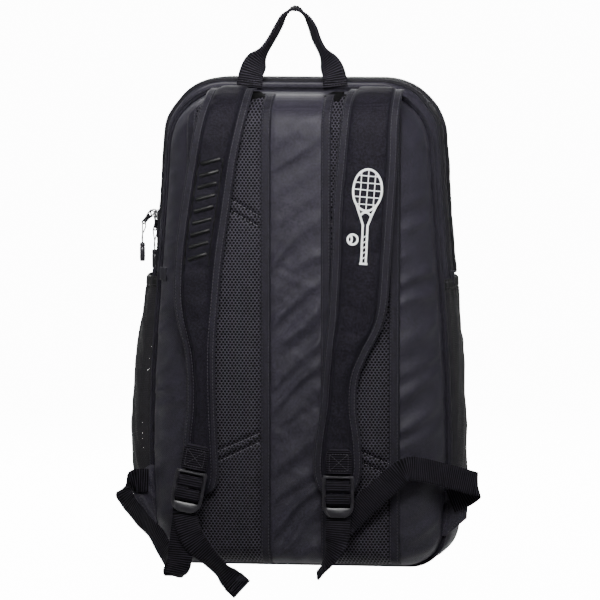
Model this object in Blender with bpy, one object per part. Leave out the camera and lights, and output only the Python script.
"""Racket backpack, hung by its haul loop: a soft shell with a lid that unzips, padded shoulder straps with
ladder locks, mesh side pockets and zip sliders with hanging pulls.

Frame: metres, +Z up. The origin is where a hook carries the haul loop, under the top of its arch.
The face against the wearer's back looks along -Y, and the front of the bag looks along +Y.
The bag's own places are given as x from its middle plane, y, and a height h over its base.
"""

import math

import bmesh
import bpy
from mathutils import Matrix, Vector

# Driving dimensions, in metres
BASE_Z = -0.580            # the bag's base, below the hook
MID_X = 0.010              # the bag's middle plane hangs this far beside the hook
BODY_H = 0.497             # height of the seam around the back panel
CORNER_TOP = 0.062         # radius of the top corners
CORNER_BOTTOM = 0.036      # radius of the bottom corners
WALL = 0.004               # fabric, foam and lining together
GAP = 0.0005               # left between two pieces that lie on each other
RACKET_ZIP_Y = -0.006      # depth of the racket compartment's zip
MAIN_ZIP_Y = 0.034         # depth of the main zip, where the lid parts from the body
ZIP_END_H = 0.303          # height of the lower ends of both zips
COLUMN_X = {"left": (-0.1120, -0.0225), "right": (0.0308, 0.1120)}  # side edges of the air-mesh columns
WEB = 0.025                # width of all the webbing
WEB_T = 0.0016             # thickness of the webbing
POCKET_H = (0.052, 0.290)  # bottom and top of the mesh of the side pockets
HINGE_H = 0.302            # height at which the lid folds down, just over the side pockets

# Half the width of the seam outline, at four heights; a cubic runs through them.
SIDE_WIDTHS = ((0.000, 0.1470), (0.150, 0.1548), (0.380, 0.1405), (0.497, 0.1350))

# How far the body is drawn in from its seam outline, as (depth, inset at the sides). Below zero it bulges out.
BACK_PROFILE = [(-0.030, 0.000), (-0.046, 0.003), (-0.062, 0.012), (-0.075, 0.026), (-0.083, 0.044),
                (-0.086, 0.070)]
GUSSET_PROFILE = [(-0.030, 0.000), (-0.022, -0.006), (-0.006, -0.0088), (0.014, -0.0095), (0.034, -0.0085)]
FRONT_PROFILE = [(0.034, -0.0085), (0.055, -0.004), (0.072, 0.006), (0.084, 0.022), (0.090, 0.044),
                 (0.092, 0.068)]
TOP_SHARE = 0.62           # the inset at the top, as a share of the inset at the sides
BOTTOM_SHARE = 0.30        # the same at the base
CORNER_MARGIN = 0.012       # kept between a plate on a face and the rounded top corner
CORNER_STEPS = 6
SIDE_STEPS = 6

# colour, roughness and metallic value of each material
MATERIALS = {
    "shell_fabric": ((0.020, 0.020, 0.024), 0.55, 0.0),
    "strap_fabric": ((0.014, 0.014, 0.017), 0.80, 0.0),
    "air_mesh": ((0.018, 0.018, 0.021), 0.90, 0.0),
    "webbing": ((0.010, 0.010, 0.012), 0.75, 0.0),
    "pocket_mesh": ((0.010, 0.010, 0.012), 0.80, 0.0),
    "lining": ((0.060, 0.060, 0.065), 0.80, 0.0),
    "foam_board": ((0.300, 0.300, 0.300), 0.70, 0.0),
    "buckle_plastic": ((0.012, 0.012, 0.014), 0.35, 0.0),
    "zip_tape": ((0.010, 0.010, 0.012), 0.70, 0.0),
    "slider_metal": ((0.700, 0.700, 0.720), 0.25, 1.0),
    "pull_cord": ((0.030, 0.030, 0.034), 0.60, 0.0),
}

# Shoulder pads, from the top seam down: x of the middle, y, h, how the width turns (x and y), width, thickness.
PADS = {
    "left": [(-0.066, -0.040, 0.4995, 1, 0, 0.046, 0.004), (-0.068, -0.064, 0.4985, 1, 0, 0.048, 0.006),
             (-0.070, -0.0890, 0.485, 1, 0, 0.050, 0.008), (-0.075, -0.1015, 0.462, 1, 0, 0.051, 0.010),
             (-0.081, -0.1045, 0.430, 1, 0, 0.050, 0.011), (-0.089, -0.1045, 0.378, 1, 0, 0.051, 0.011),
             (-0.096, -0.1045, 0.325, 1, 0, 0.050, 0.011), (-0.0985, -0.1045, 0.275, 1, 0, 0.046, 0.011),
             (-0.0950, -0.1045, 0.225, 1, -0.15, 0.033, 0.011), (-0.0935, -0.1045, 0.176, 1, -0.15, 0.031, 0.011),
             (-0.0945, -0.1045, 0.133, 1, 0, 0.036, 0.011), (-0.0935, -0.1045, 0.098, 1, 0, 0.036, 0.010),
             (-0.0930, -0.1045, 0.079, 1, 0, 0.024, 0.008)],
    "right": [(0.084, -0.040, 0.4995, 1, 0, 0.056, 0.004), (0.084, -0.064, 0.4985, 1, 0, 0.058, 0.006),
              (0.083, -0.0890, 0.485, 1, 0, 0.060, 0.008), (0.082, -0.1015, 0.462, 1, 0, 0.061, 0.010),
              (0.0805, -0.1045, 0.430, 1, 0, 0.063, 0.011), (0.0765, -0.1045, 0.378, 1, 0, 0.064, 0.011),
              (0.0740, -0.1045, 0.325, 1, 0, 0.062, 0.011), (0.0700, -0.1045, 0.272, 1, 0, 0.060, 0.011),
              (0.0600, -0.1045, 0.236, 1, 0, 0.047, 0.011), (0.0530, -0.1045, 0.206, 1, 0, 0.038, 0.011),
              (0.0505, -0.1045, 0.172, 1, 0, 0.038, 0.011), (0.0500, -0.1045, 0.135, 1, 0, 0.048, 0.011),
              (0.0495, -0.1045, 0.104, 1, 0, 0.050, 0.010), (0.0500, -0.1045, 0.079, 1, 0, 0.034, 0.008)],
}

# Ladder locks: x, y and h of the middle of the top edge, and how far the lock leans, in degrees.
LOCKS = {"left": (-0.1010, -0.1190, 0.1050, 10.5), "right": (0.0523, -0.1190, 0.1025, 0.0)}

# Webbing between the side wings and the ladder locks: x, y, h, then the direction across the webbing.
LOWER_WEBS = {
    "left": [(-0.1600, -0.0385, 0.0850, 0, 0, 1), (-0.1760, -0.0420, 0.0845, 0.15, -0.2, 1),
             (-0.1850, -0.0500, 0.0760, 0.7, -0.5, 0.6), (-0.1790, -0.0530, 0.0640, 0.8, -0.6, 0),
             (-0.1680, -0.0590, 0.0520, 0.7, -0.7, 0.2), (-0.1560, -0.0700, 0.0420, 0.6, -0.8, 0.3),
             (-0.1460, -0.0800, 0.0310, 0.4, -0.9, 0.2), (-0.1385, -0.0900, 0.0190, 0.1, -1, 0),
             (-0.1350, -0.0980, 0.0060, -0.3, -0.95, 0), (-0.1290, -0.1060, -0.0040, -0.6, -0.8, 0.2),
             (-0.1210, -0.1120, -0.0040, -0.8, -0.5, 0.3), (-0.1150, -0.1140, 0.0080, -0.95, -0.2, 0.1),
             (-0.1130, -0.1140, 0.0300, -1, 0, 0.1), (-0.1090, -0.1137, 0.0600, -1, 0, 0.15),
             (-0.1060, -0.1137, 0.0790, -1, 0, 0.18)],
    "right": [(0.1600, -0.0385, 0.0640, -0.1, 0, 1), (0.1750, -0.0395, 0.0660, -0.2, 0, 1),
              (0.1850, -0.0430, 0.0760, 0.8, -0.3, 0.6), (0.1800, -0.0500, 0.0900, 0.4, -0.2, -1),
              (0.1600, -0.0680, 0.0970, 0.3, 0, -1), (0.1370, -0.0890, 0.1030, 0.25, 0, -1),
              (0.1220, -0.1010, 0.1040, 0.5, 0, -1), (0.1060, -0.1060, 0.0960, 0.6, 0, -0.8),
              (0.0880, -0.1070, 0.0800, 0.65, 0, -0.78), (0.0710, -0.1060, 0.0640, 0.7, 0, -0.7),
              (0.0590, -0.1070, 0.0520, 0.9, 0, -0.5), (0.0540, -0.1100, 0.0450, 1, 0, -0.1),
              (0.0523, -0.1137, 0.0520, 1, 0, 0), (0.0523, -0.1137, 0.0750, 1, 0, 0)],
}

# Free ends of the webbing under the ladder locks, to their hems, in the same form.
TAILS = {
    "left": [(-0.1040, -0.1185, 0.0430, 1, 0, -0.2), (-0.0960, -0.1190, 0.0300, 0.9, 0, 0.3),
             (-0.0830, -0.1190, 0.0170, 0.75, 0, 0.65), (-0.0650, -0.1180, -0.0010, 0.7, 0, 0.7),
             (-0.0510, -0.1165, -0.0160, 0.7, 0, 0.7)],
    "right": [(0.0520, -0.1185, 0.0460, 1, 0, 0.05), (0.0490, -0.1190, 0.0330, 1, 0, -0.2),
              (0.0440, -0.1185, 0.0190, 0.95, 0, -0.3), (0.0390, -0.1175, 0.0060, 0.95, 0, -0.3)],
}

# The haul loop, from its left foot to its right: x from the hook, y, z, across, width and thickness.
HAUL_LOOP = [
    (-0.041, -0.0345, -0.0790, 1, 0.0, 0.0, 0.025, 0.0016), (-0.040, -0.0330, -0.0650, 1, 0.1, 0.0, 0.024, 0.0018),
    (-0.036, -0.0290, -0.0540, 1, 0.9, 0.2, 0.017, 0.0028), (-0.029, -0.0240, -0.0420, 0.3, 1, 0, 0.0125, 0.0036),
    (-0.022, -0.0180, -0.0300, 0, 1, 0, 0.0125, 0.0036), (-0.014, -0.0090, -0.0170, 0, 1, 0, 0.0125, 0.0036),
    (-0.008, -0.0030, -0.0060, 0, 1, 0, 0.0125, 0.0036), (0.000, 0.0000, 0.0018, 0, 1, 0, 0.0125, 0.0036),
    (0.009, -0.0030, -0.0050, 0, 1, 0, 0.0125, 0.0036), (0.018, -0.0090, -0.0170, 0, 1, 0, 0.0125, 0.0036),
    (0.026, -0.0180, -0.0300, 0, 1, 0, 0.0125, 0.0036), (0.033, -0.0240, -0.0420, -0.3, 1, 0, 0.0125, 0.0036),
    (0.041, -0.0290, -0.0540, -1, 0.9, 0.2, 0.017, 0.0028), (0.046, -0.0330, -0.0650, -1, 0.1, 0.0, 0.024, 0.0018),
    (0.047, -0.0345, -0.0790, -1, 0.0, 0.0, 0.025, 0.0016),
]

# Zip sliders on the left side: height, depth, lift off the seam outline, and how far the pull hangs out, in degrees.
SIDE_SLIDERS = {"racket": (0.364, RACKET_ZIP_Y, 0.0124, 40.0), "main": (0.357, MAIN_ZIP_Y, 0.0121, 4.0)}


def world(x, y, h):
    """A place on the bag, in the frame."""
    return Vector((MID_X + x, y, BASE_Z + h))


def material(name):
    """The material of that name, made the first time it is asked for."""
    found = bpy.data.materials.get(name)
    if found:
        return found
    colour, roughness, metallic = MATERIALS[name]
    made = bpy.data.materials.new(name)
    made.use_nodes = True
    shader = made.node_tree.nodes["Principled BSDF"]
    shader.inputs["Base Color"].default_value = (*colour, 1.0)
    shader.inputs["Roughness"].default_value = roughness
    shader.inputs["Metallic"].default_value = metallic
    return made


def add(name, bm, finish, pivot=(0, 0, 0)):
    """Turns a bmesh into the named object, with its faces pointing out and its origin at the pivot."""
    bmesh.ops.recalc_face_normals(bm, faces=bm.faces)
    bmesh.ops.translate(bm, verts=bm.verts, vec=-Vector(pivot))
    mesh = bpy.data.meshes.new(name)
    bm.to_mesh(mesh)
    bm.free()
    mesh.materials.append(material(finish))
    piece = bpy.data.objects.new(name, mesh)
    piece.location = pivot
    bpy.context.scene.collection.objects.link(piece)
    return piece


def loft(name, rings, finish, closed=False, pivot=(0, 0, 0)):
    """A solid through rings of points with one count, capped at both ends unless it closes on itself."""
    bm = bmesh.new()
    rows = [[bm.verts.new(p) for p in ring] for ring in rings]
    pairs = list(zip(rows, rows[1:]))
    if closed:
        pairs.append((rows[-1], rows[0]))
    count = len(rows[0])
    for low, high in pairs:
        for i in range(count):
            j = (i + 1) % count
            bm.faces.new((low[i], low[j], high[j], high[i]))
    if not closed:
        bm.faces.new(rows[0][::-1])
        bm.faces.new(rows[-1])
    return add(name, bm, finish, pivot)


def slab(name, under, over, finish):
    """A closed solid between two grids of points with the same rows and columns."""
    bm = bmesh.new()
    low, high = [[[bm.verts.new(p) for p in row] for row in grid] for grid in (under, over)]
    for grid in (low, high):
        for a, b in zip(grid, grid[1:]):
            for i in range(len(a) - 1):
                bm.faces.new((a[i], a[i + 1], b[i + 1], b[i]))
    for row in (0, -1):
        for i in range(len(low[0]) - 1):
            bm.faces.new((low[row][i], low[row][i + 1], high[row][i + 1], high[row][i]))
    for column in (0, -1):
        for j in range(len(low) - 1):
            bm.faces.new((low[j][column], low[j + 1][column], high[j + 1][column], high[j][column]))
    return add(name, bm, finish)


def smooth(rows, steps):
    """Rows of numbers along a smooth curve (Catmull-Rom) through the given rows."""
    ends = [rows[0]] + list(rows) + [rows[-1]]
    found = []
    for k in range(1, len(ends) - 2):
        before, here, after, last = ends[k - 1:k + 3]
        for step in range(steps):
            t = step / steps
            found.append([
                0.5 * (2 * b + (c - a) * t + (2 * a - 5 * b + 4 * c - d) * t * t + (3 * b - a - 3 * c + d) * t ** 3)
                for a, b, c, d in zip(before, here, after, last)
            ])
    found.append(list(rows[-1]))
    return found


def between(pairs, key):
    """The value at a key, by straight interpolation along (value, key) pairs with rising keys."""
    for (v0, k0), (v1, k1) in zip(pairs, pairs[1:]):
        if key <= k1:
            return v0 + (v1 - v0) * max(0.0, (key - k0) / (k1 - k0))
    return pairs[-1][0]


def half_width(h):
    """Half the width of the seam outline at a height, on its side: the cubic through SIDE_WIDTHS."""
    total = 0.0
    for h0, width in SIDE_WIDTHS:
        term = width
        for h1, _ in SIDE_WIDTHS:
            if h1 != h0:
                term *= (h - h1) / (h0 - h1)
        total += term
    return total


def side_out(y):
    """How far the body's side stands out past the seam outline at a depth."""
    return -between([(inset, depth) for depth, inset in GUSSET_PROFILE + FRONT_PROFILE[1:]], y)


def outline(inset, depth, wall=0.0):
    """The body's outline at one depth, from the base's middle round by the right.

    The inset draws it in at the sides and, by its shares, at the top and base; the wall draws it in all round.
    """
    low = BOTTOM_SHARE * max(inset, 0.0) + wall
    high = BODY_H - (TOP_SHARE * inset if inset > 0 else inset) - wall
    r_low = max(CORNER_BOTTOM - 0.2 * inset, 0.012) - wall
    r_high = max(CORNER_TOP - 0.35 * inset, 0.020) - wall
    straight_low, straight_high = low + r_low, high - r_high
    inset += wall
    wide_low, wide_high = half_width(straight_low) - inset, half_width(straight_high) - inset
    right = [(0.0, low), (0.5 * (wide_low - r_low), low)]
    for step in range(CORNER_STEPS + 1):
        a = math.pi / 2 * step / CORNER_STEPS
        right.append((wide_low - r_low * (1 - math.sin(a)), low + r_low * (1 - math.cos(a))))
    for step in range(1, SIDE_STEPS):
        h = straight_low + (straight_high - straight_low) * step / SIDE_STEPS
        right.append((half_width(h) - inset, h))
    for step in range(CORNER_STEPS + 1):
        a = math.pi / 2 * step / CORNER_STEPS
        right.append((wide_high - r_high * (1 - math.cos(a)), high - r_high * (1 - math.sin(a))))
    right += [(0.5 * (wide_high - r_high), high), (0.0, high)]
    left = [(-x, h) for x, h in right[-2:0:-1]]
    return [world(x, depth, h) for x, h in right + left]


def inset_at(x, h):
    """How far inside the seam outline a place on the back or front face lies."""
    side = half_width(h) - abs(x)
    top = (BODY_H - h) / TOP_SHARE
    if side < CORNER_TOP and top < CORNER_TOP:
        return CORNER_TOP - math.hypot(CORNER_TOP - side, CORNER_TOP - top)
    return min(side, top, h / BOTTOM_SHARE)


def corner_reach(h):
    """How far out from the middle plane a plate may reach at a height, to stay inside the rounded top corners."""
    rise = max(0.0, h - (BODY_H - CORNER_TOP))
    return half_width(h) - CORNER_TOP + math.sqrt(CORNER_TOP ** 2 - rise ** 2) - CORNER_MARGIN


def back_y(x, h):
    """Depth of the back face at a place."""
    return between(BACK_PROFILE, inset_at(x, h))


def front_y(x, h):
    """Depth of the front face at a place."""
    return between(FRONT_PROFILE, inset_at(x, h))


def shell(name, outer, finish):
    """A tray with an even wall, open at the depth where its profile starts."""
    forward = 1 if outer[-1][0] > outer[0][0] else -1
    mouth_y, mouth_inset = outer[0]
    rings = [outline(inset, y - forward * WALL, WALL) for y, inset in outer[:0:-1]]
    rings += [outline(mouth_inset, mouth_y, WALL)]
    rings += [outline(inset, y) for y, inset in outer]
    return loft(name, rings, finish)


def cut(piece, size, matrix):
    """Cuts a box of that size, placed by a matrix, out of a piece."""
    bm = bmesh.new()
    bmesh.ops.create_cube(bm, size=1.0, matrix=matrix @ Matrix.Diagonal((*size, 1.0)))
    cutter = add(piece.name + "_cutter", bm, "lining")
    cutter.hide_render = True
    cutter.display_type = "WIRE"
    modifier = piece.modifiers.new("cut", "BOOLEAN")
    modifier.operation = "DIFFERENCE"
    modifier.object = cutter
    modifier.solver = "EXACT"


def face_plate(name, x_range, levels, thickness, finish, surface, side, columns=8, lift=0.0016):
    """A plate on the back or front face, through rows at the given heights, thinner along its edges."""
    under, over = [], []
    for h in levels:
        low_row, high_row = [], []
        reach = corner_reach(h)
        start, stop = (max(-reach, min(reach, x)) for x in x_range)
        for i in range(columns + 1):
            x = start + (stop - start) * i / columns
            y = surface(x, h) + side * lift
            rise = thickness * min(1.0, 0.4 + 2.4 * min(i, columns - i) / columns)
            rise *= 0.5 if h in (levels[0], levels[-1]) else 1.0
            low_row.append(world(x, y, h))
            high_row.append(world(x, y + side * rise, h))
        under.append(low_row)
        over.append(high_row)
    return slab(name, under, over, finish)


def sweep(name, places, across, sizes, finish, section, pivot=(0, 0, 0)):
    """A flat strip through places, each with the direction of its width and its own width and thickness."""
    rings = []
    for k, (place, side, (wide, thick)) in enumerate(zip(places, across, sizes)):
        ahead = places[min(k + 1, len(places) - 1)] - places[max(k - 1, 0)]
        ahead.normalize()
        flat = (side - side.dot(ahead) * ahead).normalized()
        out = ahead.cross(flat)
        rings.append([place + flat * (u * wide / 2) + out * (v * thick / 2) for u, v in section])
    return loft(name, rings, finish, pivot=pivot)


FLAT = [(-1, -1), (1, -1), (1, 1), (-1, 1)]
PAD = [(-1, -0.35), (-0.72, -1), (0.72, -1), (1, -0.35), (1, 0.35), (0.72, 1), (-0.72, 1), (-1, 0.35)]


def webbing(name, rows, steps=3, pivot=(0, 0, 0)):
    """A length of webbing through rows of x, y, h and the direction across it."""
    rows = smooth(rows, steps)
    places = [world(*row[:3]) for row in rows]
    return sweep(name, places, [Vector(row[3:6]) for row in rows], [(WEB, WEB_T)] * len(rows), "webbing", FLAT,
                 pivot)


def box(name, size, finish, matrix, bevel=0.0, pivot=(0, 0, 0)):
    """A box placed by a matrix, with its edges bevelled if asked."""
    bm = bmesh.new()
    bmesh.ops.create_cube(bm, size=1.0, matrix=Matrix.Diagonal((*size, 1.0)))
    if bevel:
        bmesh.ops.bevel(bm, geom=bm.edges[:], offset=bevel, segments=1, affect="EDGES")
    bmesh.ops.transform(bm, matrix=matrix, verts=bm.verts)
    return add(name, bm, finish, pivot)


# ---------------------------------------------------------------- the body

def build_body():
    """The tray against the wearer's back, the lower front, and the lid above it."""
    shell("back_shell", GUSSET_PROFILE[::-1] + BACK_PROFILE[1:], "shell_fabric")
    front = [(MAIN_ZIP_Y + GAP, FRONT_PROFILE[0][1])] + FRONT_PROFILE[1:]
    lower = shell("front_shell", front, "shell_fabric")
    cut(lower, (1, 1, 1), Matrix.Translation(world(0, 0, HINGE_H - GAP + 0.5)))
    lid = shell("lid_shell", front, "shell_fabric")
    cut(lid, (1, 1, 1), Matrix.Translation(world(0, 0, HINGE_H + GAP - 0.5)))


def build_back_panel():
    """What is sewn to the back face: the middle strip, two air-mesh columns, and the piping round the seam."""
    levels = [BOTTOM_SHARE * inset for _, inset in BACK_PROFILE[2:]]
    levels += [0.10, 0.18, 0.26, 0.34, 0.40]
    levels += [BODY_H - TOP_SHARE * inset for _, inset in BACK_PROFILE[:1:-1]]
    middle = (COLUMN_X["left"][1] + 0.0015, COLUMN_X["right"][0] - 0.0015)
    face_plate("center_panel", middle, levels, 0.003, "shell_fabric", back_y, -1, 4)
    for name, edges in COLUMN_X.items():
        face_plate("mesh_column_" + name, edges, levels, 0.0075, "air_mesh", back_y, -1)
    radius = 0.0013
    seam = outline(-0.0020, BACK_PROFILE[0][0] - radius - GAP)
    rings = []
    for k, place in enumerate(seam):
        ahead = (seam[(k + 1) % len(seam)] - seam[k - 1]).normalized()
        away = Vector((ahead.z, 0, -ahead.x))
        turns = [math.pi * q / 3 for q in range(6)]
        rings.append([place + away * (radius + GAP + radius * math.cos(a)) + Vector((0, radius * math.sin(a), 0))
                      for a in turns])
    loft("seam_piping", rings, "zip_tape", closed=True)


def build_inside():
    """The stiffener board behind the back face, the padded racket divider and the elastic on it."""
    wide, low, high, radius = 0.094, 0.030, 0.448, 0.030
    corners = ((wide - radius, high - radius, 0), (radius - wide, high - radius, 90),
               (radius - wide, low + radius, 180), (wide - radius, low + radius, 270))
    ring = []
    for x, h, start in corners:
        for step in range(5):
            a = math.radians(start + 90 * step / 4)
            ring.append((x + radius * math.cos(a), h + radius * math.sin(a)))
    loft("frame_sheet", [[world(x, y, h) for x, h in ring] for y in (-0.0755, -0.0735)], "foam_board")
    box("racket_divider", (0.258, 0.006, 0.380), "lining", Matrix.Translation(world(0, -0.030, 0.200)), 0.0025)
    box("divider_elastic", (0.170, 0.0014, 0.025), "webbing", Matrix.Translation(world(0, -0.0255, 0.330)))


def zip_tape(name, inset, low_y, high_y):
    """A zip's tape with its coil: a strip on the gusset, from its end on one side over the top to the other."""
    thickness = 0.0012
    ring = [p for p in outline(inset, 0.0) if p.z > BASE_Z + ZIP_END_H + 0.005]
    end_x = half_width(ZIP_END_H) - inset
    path = [world(end_x, 0, ZIP_END_H)] + ring + [world(-end_x, 0, ZIP_END_H)]
    rings = []
    for k, place in enumerate(path):
        ahead = (path[min(k + 1, len(path) - 1)] - path[max(k - 1, 0)]).normalized()
        away = Vector((ahead.z, 0, -ahead.x))
        corners = ((0, low_y), (thickness, low_y), (thickness, high_y), (0, high_y))
        rings.append([Vector((place.x, y, place.z)) + away * lift for lift, y in corners])
    loft(name, rings, "zip_tape")


def build_zips():
    """The racket compartment's zip and the two halves of the main zip."""
    zip_tape("racket_zip", -0.0104, RACKET_ZIP_Y - 0.006, RACKET_ZIP_Y + 0.006)
    zip_tape("main_zip_rear", -0.0101, MAIN_ZIP_Y - 0.0065, MAIN_ZIP_Y)
    zip_tape("main_zip_front", -0.0101, MAIN_ZIP_Y + GAP, MAIN_ZIP_Y + 0.0070)


def build_slider(name, frame, hang):
    """A slider and its pull. The frame's x points off the bag and its z up along the zip; hang is in degrees."""
    box(name + "_slider", (0.0056, 0.0090, 0.0115), "slider_metal", frame @ Matrix.Translation((0.0028, 0, 0)),
        0.0012)
    pivot = frame @ Matrix.Translation((0.0070, 0, 0.0020))
    length, cord, grip = 0.0165, 0.0180, 0.0200
    upright = Matrix.Translation(pivot.translation) @ Matrix.Rotation(math.atan2(frame[1][0], frame[0][0]), 4, "Z")
    swing = upright @ Matrix.Rotation(-math.radians(hang), 4, "Y")
    box(name + "_pull", (0.0016, 0.0068, length), "slider_metal",
        swing @ Matrix.Translation((0, 0, -length / 2)), pivot=pivot.translation)
    top = swing @ Vector((0, 0, -length)) - Vector((0, 0, 0.0012))
    curve = bpy.data.curves.new(name + "_cord", "CURVE")
    curve.dimensions = "3D"
    curve.bevel_depth = 0.0011
    curve.bevel_resolution = 2
    curve.use_fill_caps = True
    spline = curve.splines.new("POLY")
    spline.points.add(6)
    for k, point in enumerate(spline.points):
        point.co = (0, 0, -cord * k / 6, 1.0)
    curve.materials.append(material("pull_cord"))
    cord_piece = bpy.data.objects.new(name + "_cord", curve)
    cord_piece.location = top
    bpy.context.scene.collection.objects.link(cord_piece)
    bm = bmesh.new()
    middle = top - Vector((0, 0, cord + GAP + grip / 2))
    bmesh.ops.create_cone(bm, cap_ends=True, segments=12, radius1=0.0029, radius2=0.0029, depth=grip,
                          matrix=Matrix.Translation(middle))
    add(name + "_grip", bm, "buckle_plastic", pivot.translation)


def build_sliders():
    """Two sliders on the left side's zips, and one on the front pocket's zip."""
    slope = (half_width(0.40) - half_width(0.32)) / 0.08
    up = Vector((-slope, 0, 1)).normalized()
    away = Vector((-up.z, 0, up.x))
    for name, (h, y, lift, hang) in SIDE_SLIDERS.items():
        place = world(-half_width(h) - lift, y, h)
        turn = Matrix((away, up.cross(away), up)).transposed().to_4x4()
        build_slider(name, Matrix.Translation(place) @ turn, hang)
    place = world(0.060, front_y(0.060, 0.227) + 0.0092, 0.227)
    turn = Matrix(((0, 1, 0), (0, 0, 1), (1, 0, 0))).transposed().to_4x4()
    build_slider("pocket", Matrix.Translation(place) @ turn, 4.0)


def build_front():
    """The flat front pocket on the lower front, its zip, and the panel on the lid."""
    flat = [0.022, 0.06, 0.10, 0.14, 0.18, 0.221]
    face_plate("front_pocket", (-0.100, 0.100), flat, 0.007, "shell_fabric", front_y, 1, 10, 0.0020)
    face_plate("pocket_zip", (-0.092, 0.092), [0.2220, 0.2318], 0.0050, "zip_tape", front_y, 1, 10, 0.0020)
    panel = [0.314, 0.345, 0.38, 0.415, 0.450]
    face_plate("lid_panel", (-0.092, 0.092), panel, 0.004, "shell_fabric", front_y, 1, 10, 0.0020)


# ---------------------------------------------------------------- side pockets and wings

def pocket_row(side, bulge, h, lift):
    """A row of points across a side pocket, from the seam by its belly to the front."""
    row = []
    for q in range(11):
        a = math.pi * q / 10
        y = 0.024 - 0.050 * math.cos(a)
        row.append(world(side * (half_width(h) + side_out(y) + lift + bulge * math.sin(a) ** 0.8), y, h))
    return row


def build_pockets():
    """Mesh pockets on both sides, closed below and open above, each with an elastic hem."""
    shape = ((0.0, 0.02), (0.05, 0.40), (0.18, 0.90), (0.42, 1.0), (0.70, 0.95), (0.90, 0.70), (1.0, 0.55))
    for side, name, bulge in ((-1, "left", 0.018), (1, "right", 0.003)):
        grids = []
        for lift in (0.0010, 0.0022):
            low, high = POCKET_H
            grids.append([pocket_row(side, bulge * share, low + (high - low) * t, lift) for t, share in shape])
        slab("side_pocket_" + name, *grids, "pocket_mesh")
        mouth = bulge * shape[-1][1]
        heights = (POCKET_H[1] + GAP, POCKET_H[1] + 0.0100)
        hem = [[pocket_row(side, mouth, h, lift) for h in heights] for lift in (0.0008, 0.0030)]
        slab("pocket_hem_" + name, *hem, "webbing")


def build_wings():
    """Triangles of fabric in the side seams, which hold the lower webbing, and a small tab further up."""
    for side, name, middle in ((-1, "left", 0.079), (1, "right", 0.056)):
        corners = []
        for h, reach in ((middle - 0.023, 0.003), (middle - 0.006, 0.025), (middle + 0.008, 0.025),
                         (middle + 0.023, 0.003)):
            corners.append((side * (half_width(h) + reach), h))
        corners += [(side * (half_width(middle) + 0.0012), middle + 0.020), (side * (half_width(middle) + 0.0012),
                                                                             middle - 0.020)]
        loft("wing_" + name, [[world(x, y, h) for x, h in corners] for y in (-0.0358, -0.0334)], "shell_fabric")
    place = world(0.0052 - half_width(0.305), -0.0560, 0.305)
    box("side_tab", (0.018, 0.0016, 0.014), "webbing",
        Matrix.Translation(place) @ Matrix.Rotation(math.radians(-60), 4, "Z"))


# ---------------------------------------------------------------- haul loop, straps and locks

def build_haul_loop():
    """The loop of webbing that the bag hangs by: flat feet in the top seam, folded in half at the top."""
    rows = smooth(HAUL_LOOP, 2)
    places = [Vector(row[:3]) for row in rows]
    sweep("haul_loop", places, [Vector(row[3:6]) for row in rows], [row[6:] for row in rows], "webbing", FLAT)


def lock_frame(name):
    """A placing matrix at the top edge of a ladder lock: x across it, y into the bag, z up it."""
    x, y, h, lean = LOCKS[name]
    return Matrix.Translation(world(x, y, h)) @ Matrix.Rotation(math.radians(lean), 4, "Y")


def lock_path(frame, points):
    """Points of a path in a lock's middle plane, from (out, down) pairs."""
    return [frame @ Vector((0, -out, -down)) for out, down in points]


def build_strap(name):
    """A shoulder pad with the tab sewn on it, its ladder lock, and the webbing through the lock."""
    rows = smooth(PADS[name], 2)
    x, y, h = PADS[name][0][:3]
    hinge = world(x, y, h)
    places = [world(*row[:3]) for row in rows]
    across = [Vector((row[3], row[4], 0)) for row in rows]
    sweep("shoulder_pad_" + name, places, across, [row[5:] for row in rows], "strap_fabric", PAD, hinge)

    frame = lock_frame(name)
    pivot = frame.translation
    box("buckle_tab_" + name, (0.0270, 0.0030, 0.0260), "webbing", frame @ Matrix.Translation((0, 0.0065, 0.0140)),
        0.0008, hinge)
    lock = box("ladder_lock_" + name, (0.0330, 0.0040, 0.0436), "buckle_plastic",
               frame @ Matrix.Translation((0, 0, -0.0218)), 0.0009, pivot)
    for top, bottom in ((0.0030, 0.0090), (0.0145, 0.0214), (0.0278, 0.0334)):
        cut(lock, (0.0262, 0.02, bottom - top), frame @ Matrix.Translation((0, 0, -0.5 * (top + bottom))))

    tab_path = smooth([(-0.0050, 0.0012), (-0.0042, 0.0035), (0.0, 0.0060), (0.0030, 0.0084), (0.0032, 0.0118),
                       (0.0030, 0.0150), (0.0, 0.0166), (-0.0030, 0.0150), (-0.0033, 0.0105)], 2)
    places = lock_path(frame, tab_path)
    side = frame.to_3x3() @ Vector((1, 0, 0))
    sweep("tab_loop_" + name, places, [side] * len(places), [(WEB, 0.0014)] * len(places), "webbing", FLAT, pivot)

    turn = smooth([(-0.0036, 0.0262), (-0.0031, 0.0212), (0.0, 0.0192), (0.0031, 0.0212), (0.0033, 0.0245),
                   (0.0031, 0.0282), (0.0, 0.0304), (-0.0030, 0.0330), (-0.0034, 0.0380), (-0.0032, 0.0450)], 2)
    places = lock_path(frame, turn)
    tail = smooth(TAILS[name], 3)
    places += [world(*row[:3]) for row in tail]
    across = [side] * len(turn) + [Vector(row[3:6]) for row in tail]
    sweep("web_tail_" + name, places, across, [(WEB, 0.0014)] * len(places), "webbing", FLAT, pivot)
    webbing("lower_web_" + name, LOWER_WEBS[name])


def main():
    """Builds the whole bag into an empty scene."""
    for piece in list(bpy.data.objects):
        bpy.data.objects.remove(piece)
    build_body()
    build_back_panel()
    build_inside()
    build_zips()
    build_sliders()
    build_front()
    build_pockets()
    build_wings()
    build_haul_loop()
    for name in ("left", "right"):
        build_strap(name)


main()
